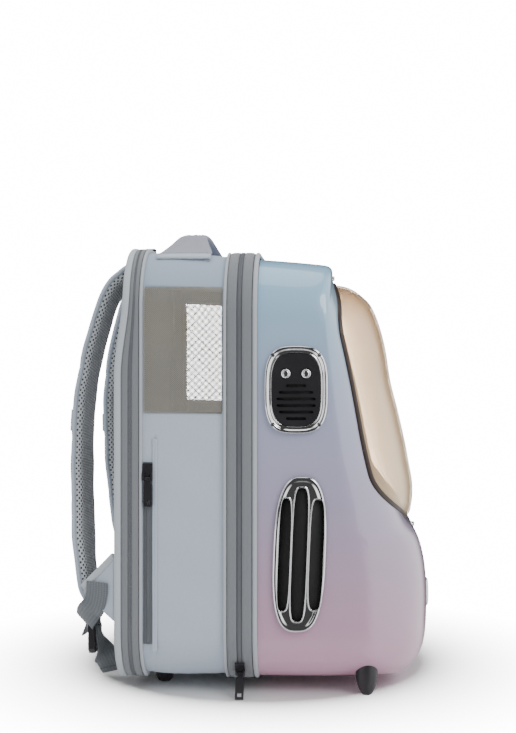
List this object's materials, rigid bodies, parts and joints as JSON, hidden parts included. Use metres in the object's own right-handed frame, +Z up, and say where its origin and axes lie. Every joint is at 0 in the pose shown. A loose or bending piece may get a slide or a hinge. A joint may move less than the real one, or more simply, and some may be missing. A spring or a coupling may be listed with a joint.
{
  "type": "pet carrier backpack",
  "caption": "Upright pet backpack: glossy bulging front shell with a clear bubble window, cloth body with net side windows, padded straps and a top handle.",
  "frame": {"origin": "centre of the bounding box seen from above, on the ground under the feet", "axes": "+Z up; the bubble front faces -Y; -X is the wearer's left side, with the push buttons and the pocket zip"},
  "size_m": [0.3408, 0.3566, 0.45],
  "materials": {
    "shell_gloss": "smooth high gloss, shading from pale blue at the top to pale pink at the bottom",
    "bubble_tint": "clear plastic with a warm brown tint, darker towards the top",
    "chrome": "bright plated",
    "black_plastic": "satin moulded",
    "dark_rubber": "matt",
    "cloth": "pale blue-grey coated weave",
    "zip_tape": "grey zip tape",
    "piping": "pale corded piping",
    "netting": "open grey net",
    "air_mesh": "grey spacer mesh",
    "webbing": "dark grey ribbed webbing"
  },
  "bodies": {
    "carrier": {"front_shell": "shell_gloss", "bubble_window": "bubble_tint", "bubble_gasket": "dark_rubber", "front_zip_band": "zip_tape", "rear_zip_band": "zip_tape", "rear_binding": "zip_tape", "pocket_zip_tape": "zip_tape", "shell_piping": "piping", "body_piping_front": "piping", "body_piping_rear": "piping", "cloth_body": "cloth", "carry_handle": "cloth", "shoulder_strap_left": "cloth", "shoulder_strap_right": "cloth", "wing_left": "cloth", "wing_right": "cloth", "net_window_left": "netting", "net_window_right": "netting", "back_panel": "air_mesh", "back_pad_upper": "air_mesh", "back_pad_lower": "air_mesh", "wing_webbing_left": "webbing", "wing_webbing_right": "webbing", "webbing_tail_left": "webbing", "webbing_tail_right": "webbing", "grille_screw_1_left": "chrome", "grille_screw_1_right": "chrome", "grille_screw_2_left": "chrome", "grille_screw_2_right": "chrome", "grille_screw_3_left": "chrome", "grille_screw_3_right": "chrome", "grille_screw_4_left": "chrome", "grille_screw_4_right": "chrome", "grille_bezel_left": "chrome", "grille_bezel_right": "chrome", "vent_frame_left": "chrome", "vent_frame_right": "chrome", "front_badge": "chrome", "visor_screw": "chrome", "nose_screw": "chrome", "ladder_lock_left": "black_plastic", "ladder_lock_right": "black_plastic", "grille_plate_left": "black_plastic", "grille_plate_right": "black_plastic", "vent_backing_left": "black_plastic", "vent_backing_right": "black_plastic", "front_foot_left": "black_plastic", "front_foot_right": "black_plastic", "rear_foot_left": "black_plastic", "rear_foot_right": "black_plastic", "pocket_zip_slider": "black_plastic", "band_zip_slider": "black_plastic", "rear_zip_slider": "black_plastic"},
    "pocket_pull": {"pocket_zip_pull": "black_plastic"},
    "band_pull": {"band_zip_pull": "black_plastic"},
    "rear_button": {"push_button_rear": "chrome"},
    "front_button": {"push_button_front": "chrome"}
  },
  "joints": [
    {"name": "pocket_pull_swing", "type": "hinge", "parent": "carrier", "child": "pocket_pull", "pos_m": [-0.1684, 0.09446, 0.2057], "axis": [0, 1, 0], "range_deg": [0, 140]},
    {"name": "band_pull_swing", "type": "hinge", "parent": "carrier", "child": "band_pull", "pos_m": [-0.15351, 0.00871, 0.02184], "axis": [0, 1, 0], "range_deg": [-78, 55]},
    {"name": "rear_button_press", "type": "slide", "parent": "carrier", "child": "rear_button", "axis": [1, 0, 0], "range_m": [0, 0.001], "stiffness_N_per_m": 150},
    {"name": "front_button_press", "type": "slide", "parent": "carrier", "child": "front_button", "axis": [1, 0, 0], "range_m": [0, 0.001], "stiffness_N_per_m": 150}
  ]
}
